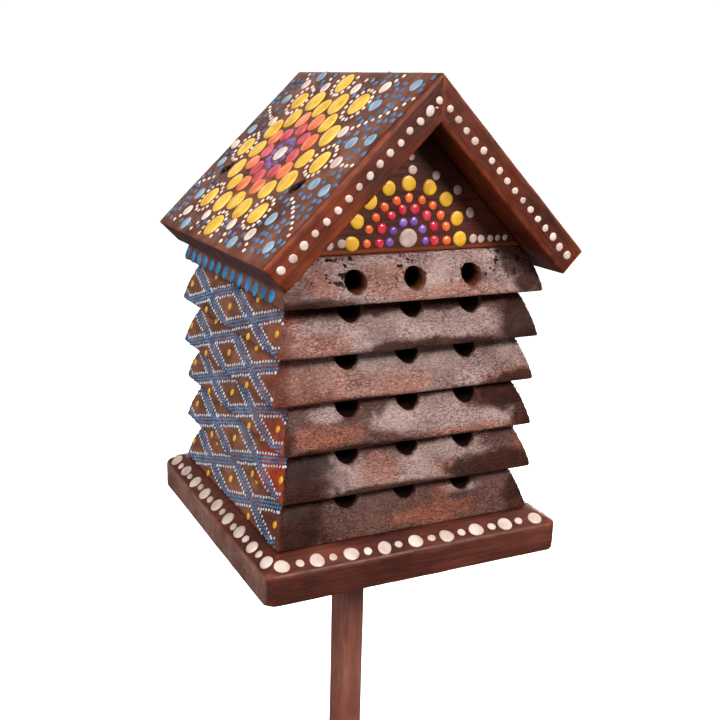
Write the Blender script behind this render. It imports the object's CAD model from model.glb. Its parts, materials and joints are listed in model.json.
"""Looks of an insect hotel on a pole: a dot-painted gable roof, six nest trays and a base board.

Built in the frame's own metres. +Z is up and the nest holes face -Y.
"""
import json
import math
import random

import bmesh
import bpy
import numpy as np
from mathutils import Matrix, Vector
from mathutils.bvhtree import BVHTree


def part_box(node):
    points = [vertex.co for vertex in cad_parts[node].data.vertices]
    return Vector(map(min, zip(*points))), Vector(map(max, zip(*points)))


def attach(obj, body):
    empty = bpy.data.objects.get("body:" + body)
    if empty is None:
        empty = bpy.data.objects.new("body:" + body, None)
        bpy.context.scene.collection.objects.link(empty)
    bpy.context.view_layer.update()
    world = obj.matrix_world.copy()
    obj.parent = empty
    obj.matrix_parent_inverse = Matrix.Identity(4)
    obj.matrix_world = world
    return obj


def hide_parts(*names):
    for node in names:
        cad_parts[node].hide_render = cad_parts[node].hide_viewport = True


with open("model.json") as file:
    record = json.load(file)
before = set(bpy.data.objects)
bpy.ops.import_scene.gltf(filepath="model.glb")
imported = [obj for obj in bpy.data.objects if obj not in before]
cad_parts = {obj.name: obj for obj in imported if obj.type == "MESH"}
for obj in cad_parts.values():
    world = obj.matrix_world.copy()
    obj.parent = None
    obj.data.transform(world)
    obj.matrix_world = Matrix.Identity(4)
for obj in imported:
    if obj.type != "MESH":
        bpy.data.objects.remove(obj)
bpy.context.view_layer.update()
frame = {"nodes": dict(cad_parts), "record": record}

MM = 0.001
VOXEL = 1.0 * MM
TRAY_VOXEL = 0.8 * MM
SEED = 11
TRAYS = [f"tray_{i}" for i in range(1, 7)]

ROOF_SLOPE = math.radians(44.6)
TRAY_SLOPE = math.radians(25.9)
# How far a tray's front, left side and right side lean in over its height.
FRONT_LEAN = 9.7 * MM
SIDE_LEAN = {-1: 6.1 * MM, 1: 6.8 * MM}
HOLE_R = 4.6 * MM
GROOVE_R = 5.2 * MM
# How far a groove's axis lies below its tray's top face.
GROOVE_DROP = 2.9 * MM
PEG_R = 3.0 * MM
PEG_HOLE_R = 3.3 * MM
TENON_R = 6.5 * MM
TENON_HOLE_R = 6.8 * MM
BEVEL_WIDTH, BEVEL_HEIGHT = 8.3 * MM, 5.3 * MM
# From the holes' front edge, along Y, to where their walls are in the dark.
MOUTH = (-59.0 * MM, -52.5 * MM)


# ---------------------------------------------------------------- noise and small helpers

def lattice(ix, iy, iz, seed):
    """Repeatable random numbers from 0 to 1 at whole-number points."""
    h = (ix * 374761393 + iy * 668265263 + iz * 1103515245 + seed * 1274126177) & 0xFFFFFFFF
    h = ((h ^ (h >> 13)) * 1274126177) & 0xFFFFFFFF
    return ((h ^ (h >> 16)) & 0xFFFF) / 65535.0


def value_noise(points, size, seed):
    """Smooth noise from -1 to 1 whose features are about size across."""
    p = points / size
    whole = np.floor(p).astype(np.int64)
    part = p - whole
    part = part * part * (3 - 2 * part)
    total = np.zeros(len(points))
    for corner in np.ndindex(2, 2, 2):
        weight = np.prod(np.where(corner, part, 1 - part), axis=1)
        total += weight * lattice(*(whole + corner).T, seed)
    return 2 * total - 1


def linear(hex_colour):
    """A colour written as on a paint card, in the shader's linear values."""
    parts = [int(hex_colour[i:i + 2], 16) / 255 for i in (1, 3, 5)]
    return tuple(c / 12.92 if c <= 0.04045 else ((c + 0.055) / 1.055) ** 2.4 for c in parts) + (1.0,)


def link(name, data):
    obj = bpy.data.objects.new(name, data)
    bpy.context.scene.collection.objects.link(obj)
    return obj


def read_points(mesh):
    co = np.empty(len(mesh.vertices) * 3, np.float32)
    mesh.vertices.foreach_get("co", co)
    return co.reshape(-1, 3).astype(float)


def write_points(mesh, co):
    mesh.vertices.foreach_set("co", co.astype(np.float32).ravel())
    mesh.update()


def read_normals(mesh):
    n = np.empty(len(mesh.vertices) * 3, np.float32)
    mesh.vertices.foreach_get("normal", n)
    return n.reshape(-1, 3).astype(float)


def write_mask(mesh, name, values):
    layer = mesh.attributes.new(name, "FLOAT", "POINT")
    layer.data.foreach_set("value", np.clip(values, 0, 1).astype(np.float32))


def ease(low, high, values):
    """values from low to high, eased onto 0 to 1."""
    t = np.clip((values - low) / (high - low), 0, 1)
    return t * t * (3 - 2 * t)


# ---------------------------------------------------------------- shader graphs

class Graph:
    """Short calls that add and join the nodes of one material. Noise sizes are in millimetres."""

    def __init__(self, name, **settings):
        self.material = bpy.data.materials.new(name)
        self.material.use_nodes = True
        self.tree = self.material.node_tree
        self.surface = self.tree.nodes["Principled BSDF"]
        for socket, value in settings.items():
            self.surface.inputs[socket.replace("_", " ")].default_value = value
        self.place = self.tree.nodes.new("ShaderNodeTexCoord").outputs["Object"]
        self.turn = (0.0, 0.0, 0.0)

    def join(self, value, socket):
        if isinstance(value, bpy.types.NodeSocket):
            self.tree.links.new(value, socket)
        else:
            socket.default_value = value

    def stretched(self, stretch):
        node = self.tree.nodes.new("ShaderNodeMapping")
        node.vector_type = "TEXTURE"
        node.inputs["Rotation"].default_value = self.turn
        node.inputs["Scale"].default_value = [1 / s for s in stretch]
        self.join(self.place, node.inputs["Vector"])
        return node.outputs["Vector"]

    def noise(self, size, detail=2.0, stretch=(1, 1, 1), rough=0.5, bend=0.0):
        node = self.tree.nodes.new("ShaderNodeTexNoise")
        self.join(self.stretched(stretch), node.inputs["Vector"])
        node.inputs["Scale"].default_value = 1 / (size * MM)
        node.inputs["Detail"].default_value = detail
        node.inputs["Roughness"].default_value = rough
        node.inputs["Distortion"].default_value = bend
        return node.outputs["Fac"]

    def axis(self, letter):
        node = self.tree.nodes.new("ShaderNodeSeparateXYZ")
        self.join(self.place, node.inputs[0])
        return node.outputs[letter]

    def mask(self, name):
        node = self.tree.nodes.new("ShaderNodeAttribute")
        node.attribute_name = name
        return node.outputs["Fac"]

    def calc(self, operation, a, b):
        node = self.tree.nodes.new("ShaderNodeMath")
        node.operation = operation
        self.join(a, node.inputs[0])
        self.join(b, node.inputs[1])
        return node.outputs[0]

    def times(self, a, b):
        return self.calc("MULTIPLY", a, b)

    def span(self, value, low, high, start=0.0, end=1.0):
        """value from low to high, eased onto start to end."""
        node = self.tree.nodes.new("ShaderNodeMapRange")
        node.interpolation_type = "SMOOTHSTEP"
        self.join(value, node.inputs["Value"])
        for name, number in (("From Min", low), ("From Max", high), ("To Min", start), ("To Max", end)):
            node.inputs[name].default_value = number
        return node.outputs["Result"]

    def blend(self, amount, a, b, mode="MIX"):
        node = self.tree.nodes.new("ShaderNodeMix")
        node.data_type = "RGBA"
        node.blend_type = mode
        self.join(amount, node.inputs[0])
        self.join(linear(a) if isinstance(a, str) else a, node.inputs[6])
        self.join(linear(b) if isinstance(b, str) else b, node.inputs[7])
        return node.outputs[2]

    def ramp(self, value, *stops):
        node = self.tree.nodes.new("ShaderNodeValToRGB")
        self.join(value, node.inputs["Fac"])
        elements = node.color_ramp.elements
        while len(elements) < len(stops):
            elements.new(0.5)
        for element, (position, colour) in zip(elements, stops):
            element.position = position
            element.color = linear(colour)
        return node.outputs["Color"]

    def bumps(self, *layers):
        """Stacks bump layers, each (height socket, depth in millimetres)."""
        below = None
        for height, depth in layers:
            node = self.tree.nodes.new("ShaderNodeBump")
            node.inputs["Strength"].default_value = 1.0
            node.inputs["Distance"].default_value = depth * MM
            self.join(height, node.inputs["Height"])
            if below is not None:
                self.join(below, node.inputs["Normal"])
            below = node.outputs["Normal"]
        self.join(below, self.surface.inputs["Normal"])

    def finish(self, colour, roughness):
        self.join(colour, self.surface.inputs["Base Color"])
        self.join(roughness, self.surface.inputs["Roughness"])
        return self.material


def grained(g, dark, mid, light, along, coarse=2.2):
    """Stained wood with fibres, darker growth lines and slow changes of tone. along stretches each axis."""
    lines = g.noise(coarse, 3, along, 0.55, 0.4)
    fibres = g.noise(coarse * 0.25, 2, along, 0.6)
    clouds = g.noise(30, 2)
    tone = g.ramp(clouds, (0.3, dark), (0.5, mid), (0.72, light))
    tone = g.blend(g.span(lines, 0.38, 0.62, 0.55, 0.0), tone, dark)
    tone = g.blend(g.span(fibres, 0.35, 0.7, 0.0, 0.3), tone, light)
    return tone, lines, fibres


def stained_board(name, turn, tones, ground_tones):
    """Mahogany-stained board with lighter edges, dark pores and its own tones where it is painted ground."""
    along = (0.06, 1, 1)
    g = Graph(name, Specular_IOR_Level=0.23, Coat_Weight=0.04, Coat_Roughness=0.35)
    g.turn = turn
    tone, lines, fibres = grained(g, *tones, along)
    ground = g.ramp(g.noise(16, 3), *zip((0.3, 0.5, 0.72), ground_tones))
    ground = g.blend(g.span(lines, 0.36, 0.6, 0.3, 0.0), ground, "#33190f")
    tone = g.blend(g.mask("painted"), tone, ground)
    edge = g.times(g.mask("wear"), g.span(g.noise(5, 3), 0.35, 0.65, 0.05, 0.4))
    tone = g.blend(edge, tone, "#9a4a26")
    pores = g.span(g.noise(0.7, 2, along, 0.7), 0.62, 0.72)
    tone = g.blend(g.times(pores, 0.6), tone, "#200b07")
    tone = g.blend(g.mask("hollow"), tone, "#1a0c08")
    g.bumps((lines, 0.12), (fibres, 0.06), (g.noise(9, 2), 0.2), (g.noise(0.6, 2), 0.05))
    return g.finish(tone, g.span(g.noise(7, 3), 0.3, 0.7, 0.4, 0.58))


def brushed_front(g, grit, worn, warm, burnt):
    """A tray's front: plain, worn, warm and burnt patches with dark gaps and pale tips in the grit."""
    along = (0.6, 1, 1)
    clouds = g.noise(20, 3, along, 0.55, 0.3)
    tone = g.ramp(clouds, (0.32, "#4a2820"), (0.5, "#5c372e"), (0.7, "#6b463c"))
    pale = g.ramp(g.noise(10, 3, along), (0.34, "#7d615a"), (0.5, "#997c75"), (0.68, "#ae928b"))
    tone = g.blend(worn, tone, pale)
    orange = g.ramp(g.noise(7, 3, (0.5, 1, 1)), (0.34, "#773b27"), (0.52, "#965036"), (0.7, "#a96547"))
    tone = g.blend(g.times(warm, 0.56), tone, orange)
    dark = g.ramp(g.noise(6, 3, along), (0.34, "#260f09"), (0.55, "#35180f"), (0.72, "#482417"))
    tone = g.blend(g.times(burnt, 0.92), tone, dark)
    gaps = g.times(g.span(grit, 0.5, 0.38), g.span(g.noise(13, 2), 0.4, 0.6, 0.55, 1.0))
    tone = g.blend(gaps, tone, g.blend(1.0, tone, "#b09d97", "MULTIPLY"))
    lit = g.times(g.calc("ADD", g.times(worn, 0.25), 0.08), g.calc("SUBTRACT", 1.0, burnt))
    tone = g.blend(g.times(g.span(grit, 0.54, 0.66), lit), tone, "#cdb0aa")
    left_end = g.times(g.span(g.axis("X"), -52 * MM, -60 * MM), warm)
    return g.blend(g.times(left_end, 0.8), tone, "#51190d")


def dotted_side(g, warm, burnt):
    """A tray's side under its dots: plainer wood, reddened or burnt where the masks say."""
    tone = g.ramp(g.noise(11, 3), (0.34, "#60392c"), (0.52, "#784a39"), (0.7, "#8b5845"))
    tone = g.blend(warm, tone, g.ramp(g.noise(9, 2), (0.36, "#7c220d"), (0.62, "#b04419")))
    tone = g.blend(g.times(burnt, 0.7), tone, "#3a1812")
    lines = g.noise(1.6, 3, (1, 0.08, 1), 0.6)
    return g.blend(g.span(lines, 0.36, 0.58, 0.3, 0.0), tone, "#2e1811")


def channel_wall(g, top_tray):
    """A channel's wall: cut wood in the drilled holes, dark in the grooves below and behind the mouth."""
    tone = g.ramp(g.noise(1.2, 3, (1, 0.06, 1)), (0.3, "#4a2414"), (0.7, "#8c4c2a"))
    tone = g.blend(g.span(g.axis("Z"), top_tray, top_tray - 1 * MM), tone, "#1c100b")
    return g.blend(g.span(g.axis("Y"), *MOUTH), tone, "#231109")


def burnt_wood():
    """Brushed, burnt and waxed tray wood, laid out by the masks in the trays' meshes."""
    g = Graph("burnt_wood", Coat_Weight=0.02, Coat_Roughness=0.3)
    names = ("worn", "warm", "burnt", "side", "hollow", "wear")
    worn, warm, burnt, side, hollow, wear = (g.mask(name) for name in names)
    grit = g.noise(0.72, 2, (0.6, 1, 1.05), 0.5, 0.6)
    tone = brushed_front(g, grit, worn, warm, burnt)
    top_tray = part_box("tray_1")[0].z
    flecks = g.times(g.span(g.noise(2.6, 3), 0.56, 0.60), g.span(g.noise(15, 2), 0.45, 0.53))
    flecks = g.times(flecks, g.span(g.axis("Z"), top_tray + 4 * MM, top_tray + 9 * MM))
    tone = g.blend(flecks, tone, "#1d0e0b")
    tone = g.blend(side, tone, dotted_side(g, warm, burnt))
    tone = g.blend(g.times(wear, 0.12), tone, "#7d452f")
    tone = g.blend(hollow, tone, channel_wall(g, top_tray))
    skin = g.calc("SUBTRACT", 1.0, g.times(side, 0.85))
    g.bumps((g.times(grit, skin), 1.3), (g.noise(4.5, 3, (0.7, 1, 1)), 0.8), (g.noise(0.45, 2), 0.06))
    charred = g.calc("MAXIMUM", g.calc("MAXIMUM", burnt, flecks), hollow)
    g.join(g.calc("SUBTRACT", 0.3, g.times(charred, 0.2)), g.surface.inputs["Specular IOR Level"])
    gloss = g.calc("ADD", g.span(g.noise(9, 3), 0.3, 0.7, 0.36, 0.5), g.times(charred, 0.2))
    return g.finish(tone, gloss)


def gable_wood():
    """Stained gable block with fine level grain and a lighter bare strip at its foot."""
    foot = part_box("gable_front")[0].z
    g = Graph("gable_wood", Specular_IOR_Level=0.25, Coat_Weight=0.03, Coat_Roughness=0.4)
    along = (0.05, 1, 1)
    tone, lines, fibres = grained(g, "#240d07", "#441a0d", "#682c17", along, 1.6)
    height = g.calc("ADD", g.axis("Z"), g.times(g.noise(9, 2), 1.2 * MM))
    strip = g.span(height, foot + 3.2 * MM, foot + 2.0 * MM)
    tone = g.blend(g.times(strip, 0.9), tone, "#7a3718")
    tone = g.blend(g.times(g.mask("wear"), 0.25), tone, "#7c4128")
    g.bumps((lines, 0.14), (fibres, 0.06))
    return g.finish(tone, g.span(lines, 0.3, 0.7, 0.42, 0.6))


def pole_wood():
    """Stained dowel with its grain along the pole. The part in the soil is darker."""
    g = Graph("pole_wood", Specular_IOR_Level=0.45, Coat_Weight=0.15, Coat_Roughness=0.35)
    tone, lines, fibres = grained(g, "#613121", "#874b3d", "#9f6659", (1, 1, 0.05), 1.8)
    height = g.calc("ADD", g.axis("Z"), g.times(g.noise(14, 3), 30 * MM))
    soiled = g.span(height, 4 * MM, -30 * MM)
    tone = g.blend(g.times(soiled, 0.6), tone, "#2c1b13")
    g.bumps((lines, 0.12), (fibres, 0.05))
    return g.finish(tone, g.span(lines, 0.3, 0.7, 0.36, 0.5))


def peg_wood():
    g = Graph("peg_wood", Specular_IOR_Level=0.4)
    tone, lines, fibres = grained(g, "#a5794c", "#c79a6b", "#d8b48a", (1, 1, 0.06), 1.2)
    g.bumps((lines, 0.06), (fibres, 0.03))
    return g.finish(tone, g.span(lines, 0.3, 0.7, 0.5, 0.65))


def screw_steel():
    """Dulled zinc with fine turning marks and brown spots."""
    g = Graph("screw_steel", Metallic=1.0)
    marks = g.noise(0.35, 2, (1, 1, 0.3))
    tone = g.ramp(g.noise(1.6, 3), (0.35, "#5a5049"), (0.55, "#85807a"), (0.75, "#9d9994"))
    tone = g.blend(g.span(g.noise(0.9, 3), 0.6, 0.7, 0.0, 0.7), tone, "#5b3622")
    g.bumps((marks, 0.02))
    return g.finish(tone, g.span(marks, 0.3, 0.7, 0.34, 0.55))


def dot_paint(name, colour, deep, pale, roughness, coat):
    """Thick hand-dotted paint: slight changes of tone from drop to drop and a soft uneven skin."""
    g = Graph(name, Specular_IOR_Level=0.5, Coat_Weight=coat, Coat_Roughness=0.12)
    tone = g.ramp(g.noise(7, 2), (0.32, deep), (0.5, colour), (0.7, pale))
    tone = g.blend(g.span(g.noise(0.8, 3), 0.55, 0.75, 0.0, 0.35), tone, deep)
    g.bumps((g.noise(1.3, 2), 0.08), (g.noise(0.35, 2), 0.02))
    return g.finish(tone, g.span(g.noise(2.2, 2), 0.3, 0.7, roughness, roughness + 0.15))


# Each look of paint: its slot, its middle, deep and pale tones, its roughness and its coat.
# The light and dull looks are the roof's, and the dim one is the gable's.
LOOKS = {
    "cream": ("cream_paint", "#c6afa2", "#af988a", "#d5c2b6", 0.42, 0.0),
    "light_cream": ("cream_paint", "#dfc9bb", "#c6ae9f", "#ead8cc", 0.42, 0.0),
    "dim_cream": ("cream_paint", "#b99d93", "#a3877d", "#c8afa5", 0.42, 0.0),
    "pale": ("pale_paint", "#b4c3cc", "#95aab8", "#cfd8dc", 0.42, 0.0),
    "yellow": ("yellow_paint", "#daa31f", "#c68d14", "#e5b638", 0.42, 0.04),
    "orange": ("orange_paint", "#e8662c", "#d34f1c", "#f08347", 0.26, 0.3),
    "red": ("red_paint", "#c9233a", "#a8182c", "#dc4450", 0.24, 0.35),
    "purple": ("purple_paint", "#7a50a2", "#5d3b84", "#9269b6", 0.26, 0.3),
    "blue": ("blue_paint", "#2f7db3", "#245f8e", "#4c97c8", 0.36, 0.05),
    "dull_yellow": ("yellow_paint", "#e6b63e", "#d3a02c", "#efc860", 0.4, 0.05),
    "dull_orange": ("orange_paint", "#e57747", "#d46233", "#ee9368", 0.4, 0.05),
    "dull_red": ("red_paint", "#cc4450", "#b4323f", "#d9626a", 0.4, 0.05),
    "dull_purple": ("purple_paint", "#77508a", "#603f74", "#8d68a0", 0.4, 0.05),
    "dull_blue": ("blue_paint", "#40678a", "#2f516f", "#587f9f", 0.45, 0.0),
    "dull_light_blue": ("light_blue_paint", "#88a2b4", "#6f8ca0", "#9fb7c6", 0.45, 0.0),
}
PAINTS = {look: (slot, dot_paint(f"{look}_paint", *values)) for look, (slot, *values) in LOOKS.items()}


# ---------------------------------------------------------------- worn wood

def fine_copy(node, voxel, shift=None):
    """A new object with the CAD node's shape in small even faces. shift may move points before that."""
    mesh = frame["nodes"][node].data.copy()
    mesh.materials.clear()
    if shift:
        write_points(mesh, shift(read_points(mesh)))
    bm = bmesh.new()
    bm.from_mesh(mesh)
    bmesh.ops.remove_doubles(bm, verts=bm.verts, dist=1e-6)
    bm.to_mesh(mesh)
    bm.free()
    obj = link("worn_" + node, mesh)
    even = obj.modifiers.new("even", "REMESH")
    even.mode = "VOXEL"
    even.voxel_size = voxel
    shown = obj.evaluated_get(bpy.context.evaluated_depsgraph_get())
    fine = bpy.data.meshes.new_from_object(shown)
    obj.modifiers.clear()
    obj.data = fine
    fine.shade_smooth()
    return obj


class Neighbours:
    """Averages values over the vertices joined to each vertex."""

    def __init__(self, mesh):
        edges = np.empty(len(mesh.edges) * 2, np.int32)
        mesh.edges.foreach_get("vertices", edges)
        ends = edges.reshape(-1, 2)
        self.here = np.concatenate([ends[:, 0], ends[:, 1]])
        self.there = np.concatenate([ends[:, 1], ends[:, 0]])
        self.total = len(mesh.vertices)
        self.count = np.maximum(np.bincount(self.here, minlength=self.total), 1)

    def mean(self, values):
        sums = [np.bincount(self.here, column[self.there], self.total) for column in values.T]
        return np.stack(sums, axis=1) / self.count[:, None]


def worn_wood(node, waviness, seed, rounding=3, voxel=VOXEL, shift=None, bores=()):
    """The CAD node as hand-finished wood: softened arrises, an uneven surface and masks for its material.

    bores are level round holes as (x, z, radius), whose rims stay crisp.
    """
    obj = fine_copy(node, voxel, shift)
    mesh = obj.data
    around = Neighbours(mesh)
    co = read_points(mesh)
    free = np.ones(len(co))
    for x, z, r in bores:
        free = np.minimum(free, ease(r + 0.3 * MM, r + 1.3 * MM, np.hypot(co[:, 0] - x, co[:, 2] - z)))
    for _ in range(rounding):
        co += 0.5 * free[:, None] * (around.mean(co) - co)
    write_points(mesh, co)
    normals = read_normals(mesh)
    far = co.copy()
    for _ in range(8):
        far += 0.5 * (around.mean(far) - far)
    bulge = ((co - far) * normals).sum(axis=1)
    upright = free * (1 - ease(0.85, 0.97, np.abs(normals[:, 2])))
    push = value_noise(co, 26 * MM, seed) + 0.45 * value_noise(co, 8 * MM, seed + 1)
    push += 0.32 * value_noise(co, 3.4 * MM, seed + 2)
    write_points(mesh, co + normals * (push * waviness * upright - 0.03 * MM)[:, None])
    write_mask(mesh, "wear", ease(0.10 * MM, 0.32 * MM, bulge))
    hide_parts(node)
    return obj


def open_bore(obj, axis, radius):
    """Keeps an upright bore wide enough for what stands in it. axis is (x, y, lowest, highest)."""
    x, y, lowest, highest = axis
    spare = 0.6 * MM
    co = read_points(obj.data)
    across = co[:, :2] - (x, y)
    r = np.linalg.norm(across, axis=1)
    wall = (r < radius) & (r > 1e-6) & (co[:, 2] > lowest - spare) & (co[:, 2] < highest + spare)
    co[wall, :2] = np.array((x, y)) + across[wall] / r[wall, None] * radius
    write_points(obj.data, co)


def peg_axes(node):
    """The pegs' axes, from the corners of their node's box, as (x, y, lowest, highest)."""
    low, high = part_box(node)
    r = PEG_R
    return [(low.x + r, low.y + r, low.z, high.z), (high.x - r, high.y - r, low.z, high.z)]


# Patches on the trays' fronts, in millimetres: (middle x, height up the slope, half length, half height).
FINISH = {
    "tray_1": {
        "worn": ((10, 9, 60, 15),),
        "warm": ((-43, 10, 7, 6), (-15, 9.5, 10, 6), (-4, 2.5, 9, 4), (22, 3.5, 18, 3.4), (35, 1, 12, 2.2)),
        "burnt": ((-52, 0.5, 18, 3.5), (51, 5, 7, 5), (58, 14, 16, 14)),
    },
    "tray_2": {
        "worn": ((-6, 9, 58, 9),),
        "warm": ((-61, 9, 11, 20), (-44, 5, 14, 5)),
        "burnt": ((8, 0.8, 32, 3.6), (57, 10, 17, 20), (0, 20.5, 110, 4.5)),
    },
    "tray_3": {
        "worn": ((8, 11, 66, 10),),
        "warm": ((-61, 8, 12, 20), (-44, 7, 20, 9), (-10, 6, 18, 5), (52, 2, 14, 4.5)),
        "burnt": ((-35, 0, 28, 1.6), (54, 0.5, 16, 5)),
    },
    "tray_4": {
        "worn": ((24, 7, 30, 5), (-36, 16.5, 10, 3.5), (8, 11, 22, 7)),
        "warm": ((-41, 7, 17, 4.2), (27, 2.5, 22, 1.8)),
        "burnt": ((48, 16, 17, 7), (-62, 8, 8, 20), (56, 4, 7, 8), (-30, 0.5, 36, 1.6)),
    },
    "tray_5": {
        "worn": ((-31, 10, 12, 10), (27, 14, 13, 6.5), (2, 9, 28, 8)),
        "warm": ((-14, 10, 9, 6), (55, 7, 2.6, 9), (20, 6, 10, 3.5)),
        "burnt": ((-55, 8, 17, 22), (41, 3.5, 24, 7), (-8, 0.5, 30, 2.4)),
    },
    "tray_6": {
        "worn": ((28, 14.5, 8, 2),),
        "warm": ((14.5, 6.2, 22, 4.4), (17, 14, 5, 2.6)),
        "burnt": ((-55, 9, 17, 20), (60, 7, 11, 12)),
    },
}
# How warm and how burnt the trays' sides are near the front.
SIDE_FINISH = {
    "tray_1": (0.1, 0.0),
    "tray_2": (0.15, 0.0),
    "tray_3": (0.25, 0.0),
    "tray_4": (0.6, 0.1),
    "tray_5": (1.0, 0.2),
    "tray_6": (0.1, 0.8),
}


def patches(x, height, ragged, shapes):
    """1 inside any of the rounded patches, 0 outside, with ragged borders."""
    inside = np.zeros(len(x))
    for middle, rise, half_length, half_height in shapes:
        away = np.hypot((x - middle) / half_length, (height - rise) / half_height)
        inside = np.maximum(inside, ease(1.35, 0.75, away + ragged))
    return inside


def finish_masks(node, mesh, side):
    """Writes where a tray is worn pale, warm or burnt. The back repeats the front turned about."""
    low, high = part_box(node)
    co = read_points(mesh)
    front = ease(-26 * MM, -42 * MM, co[:, 1])
    upright = ease(0.97, 0.8, np.abs(read_normals(mesh)[:, 2]))
    facing = np.where(co[:, 1] < 0, 1, -1)
    x = (co[:, 0] - (low.x + high.x) / 2) / MM * facing
    height = (co[:, 2] - low.z) / MM / math.cos(TRAY_SLOPE)
    ragged = 0.3 * value_noise(co, 8 * MM, SEED + 3) + 0.2 * value_noise(co, 2.6 * MM, SEED + 4)
    warm_side, burnt_side = SIDE_FINISH[node]
    for name, on_side in (("worn", 0.0), ("warm", warm_side), ("burnt", burnt_side)):
        mask = patches(x, height, ragged, FINISH[node][name]) * upright
        write_mask(mesh, name, mask * (1 - side) + on_side * front * side)


def channels(i, node):
    """The middle (x, z), radius and closed end (y) of each nest channel of a tray."""
    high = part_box(node)[1]
    for opening in frame["record"]["physics"]["openings"]:
        if f"_{i}_" in opening["name"]:
            (x0, _, z0), (x1, y1, z1) = opening["box_m"]
            if i == 1:
                yield (x0 + x1) / 2, (z0 + z1) / 2, HOLE_R, y1 + 1.0 * MM
            else:
                yield (x0 + x1) / 2, high.z - GROOVE_DROP, GROOVE_R, y1 + GROOVE_R


def make_trays(material):
    """The six nest trays, as burnt wood with masks for sides and channels."""
    made = {}
    for i, node in enumerate(TRAYS, 1):
        bores = list(channels(i, node))
        level_bores = [bore[:3] for bore in bores]
        tray = worn_wood(node, 0.3 * MM, SEED + 10 * i, voxel=TRAY_VOXEL, bores=level_bores)
        low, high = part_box(node)
        axes = peg_axes(f"pegs_{i}")
        if i < 6:
            axes += peg_axes(f"pegs_{i + 1}")
        for axis in axes:
            open_bore(tray, axis, PEG_HOLE_R)
        if i == 6:
            open_bore(tray, (0.0, 0.0, low.z - 2 * MM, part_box("pole")[1].z), TENON_HOLE_R)
        co = read_points(tray.data)
        face_y = low.y + (co[:, 2] - low.z) / (high.z - low.z) * FRONT_LEAN
        hollow = np.zeros(len(co))
        for x, z, r, end in bores:
            rise = co[:, 2] - z
            across = np.hypot(co[:, 0] - x, rise if i == 1 else np.minimum(rise, 0))
            along = (co[:, 1] > face_y + 0.5 * MM) & (co[:, 1] < end + 0.6 * MM)
            hollow = np.maximum(hollow, along & (across < r + 0.3 * MM) & (rise > -r - 0.3 * MM))
        side = ease(0.55, 0.8, np.abs(read_normals(tray.data)[:, 0])) * (1 - hollow)
        write_mask(tray.data, "side", side)
        write_mask(tray.data, "hollow", hollow)
        finish_masks(node, tray.data, side)
        tray.data.materials.append(material)
        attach(tray, "house" if i == 6 else node)
        made[node] = tray
    return made


def roof_places():
    """The roof's ridge line, both ends and the length of a slope, from the left board's box."""
    low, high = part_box("roof_board_left")
    length = (high.x - low.x) / math.cos(ROOF_SLOPE)
    return {"x": high.x, "z": high.z, "front": low.y, "back": high.y, "length": length}


def slope_out(side):
    """Down along a slope, -1 for the left one and 1 for the right one."""
    return Vector((side * math.cos(ROOF_SLOPE), 0, -math.sin(ROOF_SLOPE)))


def slope_up(side):
    """Straight out of a slope."""
    return Vector((side * math.sin(ROOF_SLOPE), 0, math.cos(ROOF_SLOPE)))


def screw_heads(side):
    """The middle of each screw's head in one roof board, from the screws' highest points."""
    roof = roof_places()
    screws = read_points(frame["nodes"]["roof_screws"].data)
    mine = screws[(screws[:, 0] - roof["x"]) * side > 0]
    ridge = np.array((roof["x"], 0, roof["z"]))
    for half in (mine[mine[:, 1] < 0], mine[mine[:, 1] > 0]):
        height = (half - ridge) @ np.array(slope_up(side))
        yield half[height.argsort()[-8:]].mean(axis=0)


def make_roof():
    """Both roof boards, with their upper face marked as painted ground and their screw holes as hollow."""
    roof = roof_places()
    ridge = np.array((roof["x"], 0, roof["z"]))
    boards = {}
    for side, name in ((-1, "left"), (1, "right")):
        out, up = np.array(slope_out(side)), np.array(slope_up(side))

        def past_mitre(co, out=out):
            """Carries the mitred face past the ridge, so that the rounded arrises close the joint."""
            mitre = np.abs(co[:, 0] - roof["x"]) < 0.1 * MM
            co[mitre] -= out * 1.1 * MM
            return co

        board = worn_wood(f"roof_board_{name}", 0.13 * MM, SEED + 100 + side, 2, shift=past_mitre)
        co = read_points(board.data)
        depth = -(co - ridge) @ up
        painted = ease(1.2 * MM, 0.5 * MM, depth) * ease(1.5 * MM, 3.5 * MM, co[:, 1] - roof["front"])
        hollow = np.zeros(len(co))
        for head in screw_heads(side):
            offset = co - head
            offset -= np.outer(offset @ up, up)
            hollow = np.maximum(hollow, ease(4.4 * MM, 3.5 * MM, np.linalg.norm(offset, axis=1)))
        write_mask(board.data, "painted", painted)
        write_mask(board.data, "hollow", hollow)
        turn = (0.0, side * ROOF_SLOPE, 0.0)
        tones, ground = ("#2c0e07", "#591d0b", "#843816"), ("#4c281d", "#6e4030", "#8d5a46")
        board.data.materials.append(stained_board(f"stained_roof_{name}", turn, tones, ground))
        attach(board, "roof")
        boards[side] = board
    return boards


def make_gables(material):
    """The front and rear gable blocks, open where the top tray's pegs stand in them."""
    blocks = {}
    for i, node in enumerate(("gable_front", "gable_rear")):
        block = worn_wood(node, 0.10 * MM, SEED + 130 + i, 1)
        for axis in peg_axes("pegs_1"):
            open_bore(block, axis, PEG_HOLE_R)
        block.data.materials.append(material)
        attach(block, "roof")
        blocks[node] = block
    return blocks


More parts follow.
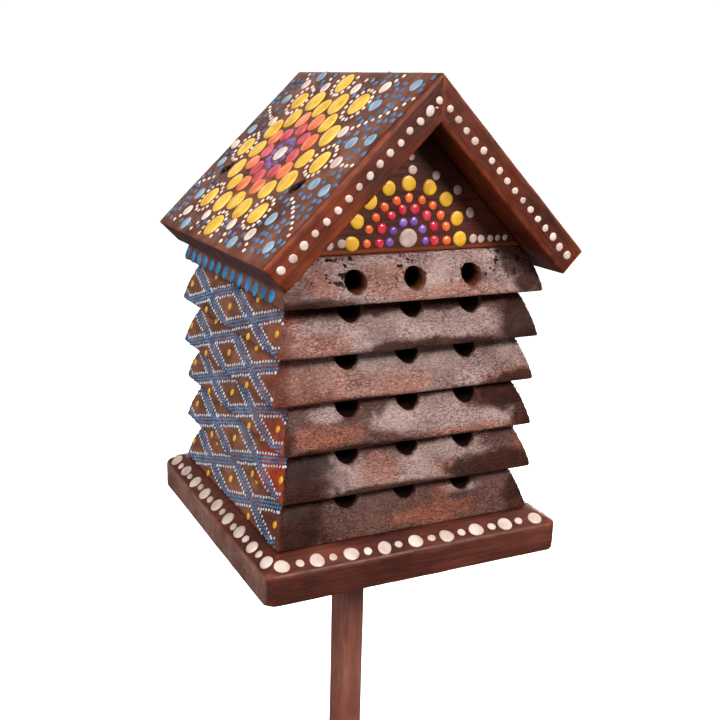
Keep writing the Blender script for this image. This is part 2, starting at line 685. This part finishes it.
def make_base():
    """The base board, with its end grain marked as the lighter painted ground."""
    board = worn_wood("base_board", 0.16 * MM, SEED + 150)
    low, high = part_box("base_board")
    open_bore(board, (0.0, 0.0, low.z, high.z), TENON_HOLE_R)
    end_grain = np.abs(read_normals(board.data)[:, 0])
    write_mask(board.data, "painted", 0.85 * ease(0.75, 0.95, end_grain))
    write_mask(board.data, "hollow", np.zeros(len(end_grain)))
    tones, ground = ("#2e120c", "#4e221a", "#6b372a"), ("#6b463b", "#8a6357", "#a57d70")
    board.data.materials.append(stained_board("stained_base", (0.0, 0.0, 0.0), tones, ground))
    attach(board, "house")
    return board


def make_pole(material):
    """The pole turned from its own outline, with the slight waviness of a hand-sanded dowel."""
    low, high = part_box("pole")
    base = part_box("base_board")[0].z
    r, tip, point = high.x, 2 * MM, 30 * MM
    point_top = low.z + point
    steps, around = 110, 56
    outline = [(0.0, low.z), (1.6 * MM, low.z), (tip, low.z + 0.5 * MM)]
    outline += [(tip + (r - tip) * t, low.z + point * t) for t in (0.25, 0.5, 0.75, 0.97)]
    outline += [(r, point_top + 0.4 * MM + (base - 0.5 * MM - point_top) * k / steps) for k in range(steps)]
    outline += [(r - 0.15 * MM, base - 0.25 * MM), (r - 0.5 * MM, base), (TENON_R, base)]
    outline += [(TENON_R, base + 6 * MM), (TENON_R, high.z - 0.6 * MM)]
    outline += [(TENON_R - 0.5 * MM, high.z), (0.0, high.z)]
    bm = bmesh.new()
    rings = []
    for radius, z in outline:
        if radius == 0.0:
            rings.append([bm.verts.new((0, 0, z))])
            continue
        turns = [2 * math.pi * k / around for k in range(around)]
        spots = np.array([(math.cos(turn), math.sin(turn), 0) for turn in turns]) * radius + (0, 0, z)
        if z < base - 1 * MM:
            wave = 0.10 * MM * value_noise(spots, 22 * MM, SEED + 160)
            spots[:, :2] *= (1 + (wave - 0.08 * MM) / radius)[:, None]
        rings.append([bm.verts.new(s) for s in spots])
    for a, b in zip(rings, rings[1:]):
        for k in range(around):
            n = (k + 1) % around
            if len(a) == 1:
                bm.faces.new((a[0], b[n], b[k]))
            elif len(b) == 1:
                bm.faces.new((a[k], a[n], b[0]))
            else:
                bm.faces.new((a[k], a[n], b[n], b[k]))
    mesh = bpy.data.meshes.new("turned_pole")
    bm.to_mesh(mesh)
    bm.free()
    mesh.shade_smooth()
    pole = link("turned_pole", mesh)
    mesh.materials.append(material)
    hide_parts("pole")
    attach(pole, "pole")


# ---------------------------------------------------------------- raised paint

# Profiles of a dot from its rim inwards: (share of its radius, share of its height).
FLAT = ((1.0, -0.9), (0.985, 0.25), (0.88, 0.72), (0.6, 0.93), (0.3, 1.0))
ROUND = ((1.0, -0.6), (0.97, 0.22), (0.84, 0.58), (0.62, 0.82), (0.34, 0.96))
SMALL = ((1.0, -0.8), (0.9, 0.45), (0.5, 0.92))


class Paint:
    """Collects raised dots and makes one mesh for each body and look of paint."""

    def __init__(self):
        self.drops = {}
        self.dice = random.Random(SEED)

    def drop(self, face, u, v, colour, across, height, along=None, profile=FLAT, spin=None, wobble=0.04):
        """Adds a dot at (u, v) on a face. across and along are its widths, height how far it stands up."""
        spot = face.at(u, v)
        if spot is None:
            return
        where, out = spot
        jog = self.dice.gauss
        sizes = [w / 2 * (1 + wobble * jog(0, 1)) for w in (across, along or across)]
        turn = self.dice.uniform(0, 2 * math.pi) if spin is None else spin
        first = (face.u - out * face.u.dot(out)).normalized()
        second = out.cross(first)
        a = first * math.cos(turn) + second * math.sin(turn)
        b = out.cross(a)
        lobes = (0.03 * jog(0, 1), self.dice.uniform(0, 6.28), 0.02 * jog(0, 1), self.dice.uniform(0, 6.28))
        drop = (where, out, a, b, sizes, height * (1 + 0.1 * jog(0, 1)), profile, lobes)
        self.drops.setdefault((face.body, colour), []).append(drop)

    def pieces(self):
        for (body, colour), drops in sorted(self.drops.items(), key=lambda item: item[0]):
            mesh = self.mesh_of(drops, f"{colour}_dots_{body}")
            obj = link(mesh.name, mesh)
            slot, material = PAINTS[colour]
            mesh.materials.append(material)
            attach(obj, body)

    @staticmethod
    def mesh_of(drops, name):
        points = []
        faces = []
        for where, out, a, b, sizes, height, profile, lobes in drops:
            count = 18 if sizes[0] > 2.4 * MM else 12 if sizes[0] > 1.2 * MM else 8
            angle = np.arange(count) * 2 * math.pi / count
            swell = 1 + lobes[0] * np.sin(2 * angle + lobes[1]) + lobes[2] * np.sin(3 * angle + lobes[3])
            centre, n, a, b = (np.array(x) for x in (where, out, a, b))
            start = len(points)
            flat = np.outer(np.cos(angle) * swell * sizes[0], a)
            flat += np.outer(np.sin(angle) * swell * sizes[1], b)
            for share, lift in profile:
                points.extend(centre + flat * share + n * height * lift)
            points.append(centre + n * height)
            last = start + count * (len(profile) - 1)
            for ring in range(len(profile) - 1):
                low = start + ring * count
                for k in range(count):
                    m = (k + 1) % count
                    faces.append((low + k, low + m, low + count + m, low + count + k))
            top = last + count
            for k in range(count):
                faces.append((last + k, last + (k + 1) % count, top))
            faces.append(tuple(start + k for k in reversed(range(count))))
        mesh = bpy.data.meshes.new(name)
        mesh.from_pydata([tuple(p) for p in points], [], faces)
        mesh.shade_smooth()
        return mesh


class Face:
    """One painted face: its starting corner, two directions along it and the worn wood under it."""

    trees = {}

    def __init__(self, body, wood, corner, u, v, out):
        self.body = body
        self.corner = Vector(corner)
        self.u = Vector(u).normalized()
        self.v = Vector(v).normalized()
        self.out = Vector(out).normalized()
        if wood.name not in self.trees:
            polygons = [tuple(p.vertices) for p in wood.data.polygons]
            self.trees[wood.name] = BVHTree.FromPolygons([v.co for v in wood.data.vertices], polygons)
        self.tree = self.trees[wood.name]

    def at(self, u, v):
        """The point and the way out on the wood at (u, v), or None past its edge."""
        start = self.corner + self.u * u + self.v * v + self.out * 8 * MM
        where, normal, _, _ = self.tree.ray_cast(start, -self.out, 12 * MM)
        if where is None or normal.dot(self.out) < 0.5:
            return None
        return where, (normal + self.out).normalized()


paint = Paint()


def polar(centre, r, degrees):
    """The point at a distance and an angle from a centre."""
    t = math.radians(degrees)
    return centre[0] + r * math.cos(t), centre[1] + r * math.sin(t)


def paint_mandala(face, width, length, screws):
    """The roof's round pattern: rings of large dots, then haloes, trails and a field of blue dots."""
    centre = (75.6 * MM, 49.8 * MM)
    margin, screw_clear = 2.2 * MM, 5.2 * MM
    taken = []

    def inside(u, v, r):
        across = margin + r * 0.6 < u < width - margin - r * 0.4
        return across and margin * 0.6 + r * 0.6 < v < length - margin - r * 0.5

    def mark(u, v, colour, size, height, gap=1.2 * MM, jog=0.35 * MM, profile=FLAT, **shape):
        u += paint.dice.gauss(0, jog)
        v += paint.dice.gauss(0, jog)
        on_screw = any(math.hypot(u - s[0], v - s[1]) < screw_clear for s in screws)
        if inside(u, v, size / 2) and not on_screw:
            paint.drop(face, u, v, colour, size, height, profile=profile, **shape)
            taken.append((u, v, size / 2 + gap))

    mark(*centre, "light_cream", 8.5 * MM, 0.5 * MM)
    for k in range(11):
        mark(*polar(centre, 7.5 * MM, 360 / 11 * k), "dull_purple", 4.0 * MM, 0.5 * MM, profile=ROUND)
    # Each ring of eight: colour, radius, size of its dots and first angle.
    outer = 43.2
    rings = (
        ("dull_red", 13.8, 8.1, 0.0),
        ("dull_orange", 20.8, 9.6, 22.5),
        ("dull_yellow", 27.4, 10.8, 0.0),
        ("dull_yellow", 33.0, 12.2, 22.5),
        ("dull_yellow", outer, 11.6, 0.0),
    )
    for colour, r, size, first in rings:
        for k in range(8):
            mark(*polar(centre, r * MM, first + 45 * k), colour, size * MM, 0.55 * MM)
    # Haloes of small dots round the outer yellow ones.
    for k in range(8):
        heart = polar(centre, outer * MM, 45 * k)
        for n in range(16):
            spot = polar(heart, 8.3 * MM, 22.5 * n + 7 * k)
            mark(*spot, "light_cream", 2.25 * MM, 0.35 * MM, 0.6 * MM, 0.2 * MM, SMALL)
    # Bowed trails that shrink outwards, each behind a larger dot.
    for k in range(16):
        away = 42.5 if k % 2 else 57.5
        degrees = 22.5 * k
        mark(*polar(centre, away * MM, degrees), "light_cream", 6.4 * MM, 0.45 * MM)
        for n in range(14):
            bow = 0.06 * n * n * (1 if k % 4 < 2 else -1)
            spot = polar(centre, (away + 5.6 + 3.9 * n) * MM, degrees + bow)
            mark(*spot, "light_cream", (2.3 - 0.03 * n) * MM, 0.35 * MM, 0.7 * MM, 0.15 * MM, SMALL)
    # Light blue dots between the trails, then small blue ones wherever there is room.
    for k in range(16):
        degrees = 11.25 + 22.5 * k
        shallow = abs(math.sin(math.radians(degrees))) < 0.4
        for r in (55.8, 68.0 if shallow else 77.0):
            mark(*polar(centre, r * MM, degrees), "dull_light_blue", 6.6 * MM, 0.4 * MM)
    across, up = 4.9 * MM, 4.1 * MM
    for row in range(int(length / up) + 1):
        for column in range(int(width / across) + 1):
            u = (column + 0.5 * (row % 2)) * across + paint.dice.uniform(-1.2, 1.2) * MM
            v = (row + 0.5) * up + paint.dice.uniform(-1.0, 1.0) * MM
            if math.hypot(u - centre[0], v - centre[1]) < 38 * MM:
                continue
            if all(math.hypot(u - s[0], v - s[1]) > s[2] + 0.7 * MM for s in taken):
                mark(u, v, "dull_blue", 3.2 * MM, 0.3 * MM, 0.8 * MM, 0.0, SMALL, along=2.6 * MM)


def paint_roof(boards):
    """The round pattern on both slopes, kept off the screw holes."""
    roof = roof_places()
    width = roof["back"] - roof["front"]
    ridge = Vector((roof["x"], roof["front"], roof["z"]))
    for side, board in boards.items():
        face = Face("roof", board, ridge, (0, 1, 0), slope_out(side), slope_up(side))
        heads = [head - np.array(ridge) for head in screw_heads(side)]
        screws = [(head[1], float(head @ np.array(slope_out(side)))) for head in heads]
        paint_mandala(face, width, roof["length"], screws)


def paint_bands(boards):
    """Cream dots along the roof's front and back ends."""
    roof = roof_places()
    for side, board in boards.items():
        for front in (True, False):
            y = roof["front"] if front else roof["back"]
            out = Vector((0, -1 if front else 1, 0))
            face = Face("roof", board, (roof["x"], y, roof["z"]), slope_out(side), -slope_up(side), out)
            nearer = (side < 0) == front
            for k in range(16):
                along = 8.3 + 5.45 * k + 0.03 * k * k if nearer else 11.9 + 5.62 * k
                down = (6.6 - 0.08 * k if nearer else 7.1) + paint.dice.gauss(0, 0.2)
                wide = 4.9 if nearer and k == 1 else 3.6 if k > 12 else 3.1
                paint.drop(face, along * MM, down * MM, "cream", wide * MM, 0.45 * MM,
                           along=min(wide, 3.7) * MM, spin=0.4, wobble=0.06)
            if nearer:
                paint.drop(face, 10.8 * MM, 7.7 * MM, "cream", 1.4 * MM, 0.3 * MM, along=0.8 * MM, spin=-0.7)


def paint_gable(block, back=False):
    """Half a mandala on the gable: rings of glossy drops over its foot."""
    low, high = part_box("gable_rear" if back else "gable_front")
    side = -1 if back else 1
    y = high.y if back else low.y
    middle = (low.x + high.x) / 2 - 3.4 * MM * side
    face = Face("roof", block, (middle, y, low.z), (side, 0, 0), (0, 0, 1), (0, -side, 0))
    centre = (0.0, 4.4 * MM)
    paint.drop(face, 0.0, 5.7 * MM, "dim_cream", 8.7 * MM, 0.6 * MM, along=8.0 * MM, spin=0.0)
    # Each ring: colour, radius, drops in half a turn, size, sideways shift, flattening.
    rings = (
        ("purple", 8.0, 6, 3.9, -0.1, 1.0),
        ("red", 13.1, 8, 4.4, -0.35, 1.0),
        ("orange", 18.5, 11, 4.0, -0.2, 0.93),
        ("yellow", 24.7, 9, 6.4, -0.4, 0.935),
        ("dim_cream", 30.4, 9, 4.0, 0.6, 0.935),
    )
    for colour, r, count, size, shift, flatten in rings:
        domed = colour in ("purple", "red", "orange")
        height = 0.2 * size if domed else 0.11 * size
        for k in range(count):
            u, v = polar(centre, r * MM, 180 / (count - 1) * k)
            u += (shift + paint.dice.gauss(0, 0.2)) * MM
            v = centre[1] + (v - centre[1]) * flatten + paint.dice.gauss(0, 0.2) * MM
            paint.drop(face, u, v, colour, size * MM, height * MM, profile=ROUND if domed else FLAT)
    for r, size in ((34.8, 3.6), (39.5, 3.0), (43.2, 2.7), (46.9, 2.7)):
        paint.drop(face, r * MM, 4.0 * MM, "dim_cream", size * MM, 0.4 * MM)
        if r < 42:
            paint.drop(face, -r * MM, 4.0 * MM, "dim_cream", size * MM, 0.4 * MM)
    for v, size in ((38.0, 3.1), (41.1, 2.0)):
        paint.drop(face, 0.0, v * MM, "dim_cream", size * MM, 0.4 * MM)


def rim_face(board, corner, inward):
    """The base board's bevel on the side whose level inward direction is given, u along it and v up it."""
    inward, up = Vector(inward), Vector((0, 0, 1))
    rising = inward * BEVEL_WIDTH + up * BEVEL_HEIGHT
    out = up * BEVEL_WIDTH - inward * BEVEL_HEIGHT
    return Face("house", board, corner, inward.cross(up), rising, out)


def paint_base(board):
    """A large dot and a small one in turn along the base board's bevel."""
    low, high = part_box("base_board")
    foot = high.z - BEVEL_HEIGHT
    middle = (low.x + high.x) / 2
    # Each side: where its bevel starts, the way in, millimetres from large dot to large dot, shift, stretch.
    sides = (
        ((middle, low.y, foot), (0, 1, 0), 15.2, -1.4, 1.0),
        ((middle, high.y, foot), (0, -1, 0), 15.2, 1.4, 1.0),
        ((low.x, 0.0, foot), (1, 0, 0), 15.6, 0.2, 1.12),
        ((high.x, 0.0, foot), (-1, 0, 0), 15.6, -0.2, 1.12),
    )
    for corner, inward, step, shift, stretch in sides:
        face = rim_face(board, corner, inward)
        for k in range(-8, 9):
            size = (6.7 if k % 2 == 0 else 3.8) * MM
            u = (shift + k * step / 2 + paint.dice.gauss(0, 0.3)) * MM
            v = (4.5 + paint.dice.gauss(0, 0.2)) * MM
            paint.drop(face, u, v, "cream", size * stretch, 0.6 * MM,
                       along=size * 0.94, spin=-0.2, wobble=0.05)


def zigzag(y, rising):
    """Height of a band's middle above the tray's foot and its slope, at y, all in millimetres."""
    period, rise, foot, start = 109.0, 16.6, 0.7, 3.0
    phase = ((y - start) / period + (0.0 if rising else 0.5)) % 1.0
    slope = (1 if phase > 0.5 else -1) * 2 * rise / period
    return foot + rise * abs(2 * phase - 1), slope


def side_faces(node, wood, body):
    """The left and right side of a tray, with u towards the back and v up the side."""
    low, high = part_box(node)
    height = high.z - low.z
    for side, x in ((-1, low.x), (1, high.x)):
        lean = SIDE_LEAN[side]
        rising, out = (-side * lean, 0, height), (side * height, 0, lean)
        yield Face(body, wood, (x, 0.0, low.z), (0, 1, 0), rising, out)


def paint_side(face, front, back, shift):
    """Two bands of dots that cross between yellow dots: a pale row outside and two blue rows inside."""
    top = 18.6
    # Each row: distance from the band's middle, colour, size of its dots and distance between them.
    rows = (
        (-2.5, "pale", 1.5, 2.6),
        (-0.8, "blue", 1.3, 2.1),
        (0.8, "blue", 1.3, 2.1),
        (2.5, "pale", 1.5, 2.6),
    )
    for rising in (True, False):
        for offset, colour, size, pitch in rows:
            crossing = 1.9 if colour == "pale" else 1.5
            under = colour == "pale" or not rising
            y = -70.0 + paint.dice.uniform(0, 1)
            while y < 70.0:
                middle, slope = zigzag(y, rising)
                length = math.hypot(1, slope)
                u = y - offset * slope / length
                w = middle + offset / length
                other, _ = zigzag(u, not rising)
                hidden = under and abs(w - other) < crossing
                if front + 0.5 < u + shift < back - 0.5 and 0.5 < w < top and not hidden:
                    along = u + shift + paint.dice.gauss(0, 0.12)
                    spot = (along * MM, (w + paint.dice.gauss(0, 0.12)) * MM)
                    paint.drop(face, *spot, colour, size * MM, 0.32 * MM, profile=SMALL, wobble=0.07)
                y += pitch / length
    for y, w in ((-52, 9.3), (3, 9.2), (58.0, 9.2), (-24.0, 1.9), (31.0, 1.9), (-23, 18.0), (30, 18.0)):
        if front + 1 < y + shift < back - 1 and w < top:
            paint.drop(face, (y + shift) * MM, w * MM, "yellow", 3.3 * MM, 0.45 * MM, profile=ROUND)


def paint_eaves_tray(face):
    """A row of tall blue dots under the eaves."""
    for k in range(13):
        spot = ((-51.5 + 9.15 * k) * MM, (3.4 + paint.dice.gauss(0, 0.15)) * MM)
        paint.drop(face, *spot, "blue", 5.0 * MM, 0.45 * MM, along=6.0 * MM, spin=0.0)


def paint_trays(trays):
    """The sides of all trays. The bands of the five lower ones are shifted along them by hand."""
    shifts = {"tray_2": -2.7, "tray_3": -5.5, "tray_4": 0, "tray_5": -5, "tray_6": -3}
    for node in TRAYS:
        low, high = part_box(node)
        for face in side_faces(node, trays[node], "house" if node == "tray_6" else node):
            if node == "tray_1":
                paint_eaves_tray(face)
            else:
                paint_side(face, low.y / MM + 2.5, high.y / MM - 2.5, shifts[node])


# ---------------------------------------------------------------- stage, lights and camera

def make_stage():
    """A plain near-white floor under the pole's point."""
    bm = bmesh.new()
    bmesh.ops.create_circle(bm, cap_ends=True, segments=96, radius=30.0)
    mesh = bpy.data.meshes.new("floor")
    bm.to_mesh(mesh)
    bm.free()
    floor = link("floor", mesh)
    floor.location.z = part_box("pole")[0].z - 0.5 * MM
    g = Graph("studio_floor", Emission_Color=(1, 1, 1, 1), Emission_Strength=1.0)
    mesh.materials.append(g.finish((0.9, 0.9, 0.9, 1), 0.9))
    floor.visible_diffuse = False
    floor.visible_glossy = False


def area_light(name, at, aim, size, power):
    data = bpy.data.lights.new(name, "AREA")
    data.shape = "DISK"
    data.size = size
    data.energy = power
    lamp = link(name, data)
    lamp.location = at
    lamp.rotation_euler = (Vector(aim) - Vector(at)).to_track_quat("-Z", "Y").to_euler()


def make_lights():
    """A plain white studio: an even white world and five large lamps round the house."""
    world = bpy.data.worlds.new("studio")
    bpy.context.scene.world = world
    world.use_nodes = True
    nodes = world.node_tree.nodes
    background = nodes["Background"]
    background.inputs["Color"].default_value = (1, 1, 1, 1)
    seen = nodes.new("ShaderNodeLightPath")
    level = nodes.new("ShaderNodeMapRange")
    level.inputs["To Min"].default_value = 0.145
    level.inputs["To Max"].default_value = 1.05
    world.node_tree.links.new(seen.outputs["Is Camera Ray"], level.inputs["Value"])
    world.node_tree.links.new(level.outputs["Result"], background.inputs["Strength"])
    heart = (0.0, 0.0, 0.29)
    area_light("key", (0.34, -0.98, 0.92), heart, 0.34, 17)
    area_light("left_top", (-0.85, -0.25, 1.10), heart, 0.9, 13.5)
    area_light("left_low", (-1.2, -0.5, 0.35), heart, 0.8, 4)
    area_light("right_rear", (1.2, 0.55, 0.60), heart, 1.0, 11)
    area_light("rear", (0.40, 1.25, 0.45), heart, 0.8, 8)


def make_camera():
    """The photograph's viewpoint: from the front left, looking down on the trays."""
    place = Vector((-0.20427, -0.41699, 0.39184))
    yaw, pitch, roll = (math.radians(a) for a in (26.48905, 15.09638, 1.46890))
    data = bpy.data.cameras.new("camera")
    data.sensor_width = 36.0
    data.lens = 51.4535
    data.clip_start, data.clip_end = 0.01, 50
    camera = link("camera", data)
    ahead = Vector((math.sin(yaw) * math.cos(pitch), math.cos(yaw) * math.cos(pitch), -math.sin(pitch)))
    right = Vector((math.cos(yaw), -math.sin(yaw), 0))
    up = right.cross(ahead)
    across = right * math.cos(roll) + up * math.sin(roll)
    above = up * math.cos(roll) - right * math.sin(roll)
    turn = Matrix((across, above, -ahead)).transposed().to_4x4()
    camera.matrix_world = Matrix.Translation(place) @ turn
    bpy.context.scene.camera = camera


def dress_carried_nodes():
    """Materials of the CAD nodes that are shown as they are."""
    wood, steel = peg_wood(), screw_steel()
    for name, node in frame["nodes"].items():
        if name.startswith("pegs_") or name.endswith("screws"):
            pegs = name.startswith("pegs_")
            node.data.materials.clear()
            node.data.materials.append(wood if pegs else steel)


dress_carried_nodes()
trays = make_trays(burnt_wood())
boards = make_roof()
blocks = make_gables(gable_wood())
base = make_base()
make_pole(pole_wood())

paint_roof(boards)
paint_bands(boards)
paint_gable(blocks["gable_front"])
paint_gable(blocks["gable_rear"], back=True)
paint_base(base)
paint_trays(trays)
paint.pieces()

make_stage()
make_lights()
make_camera()
bpy.context.scene.view_settings.view_transform = "Standard"
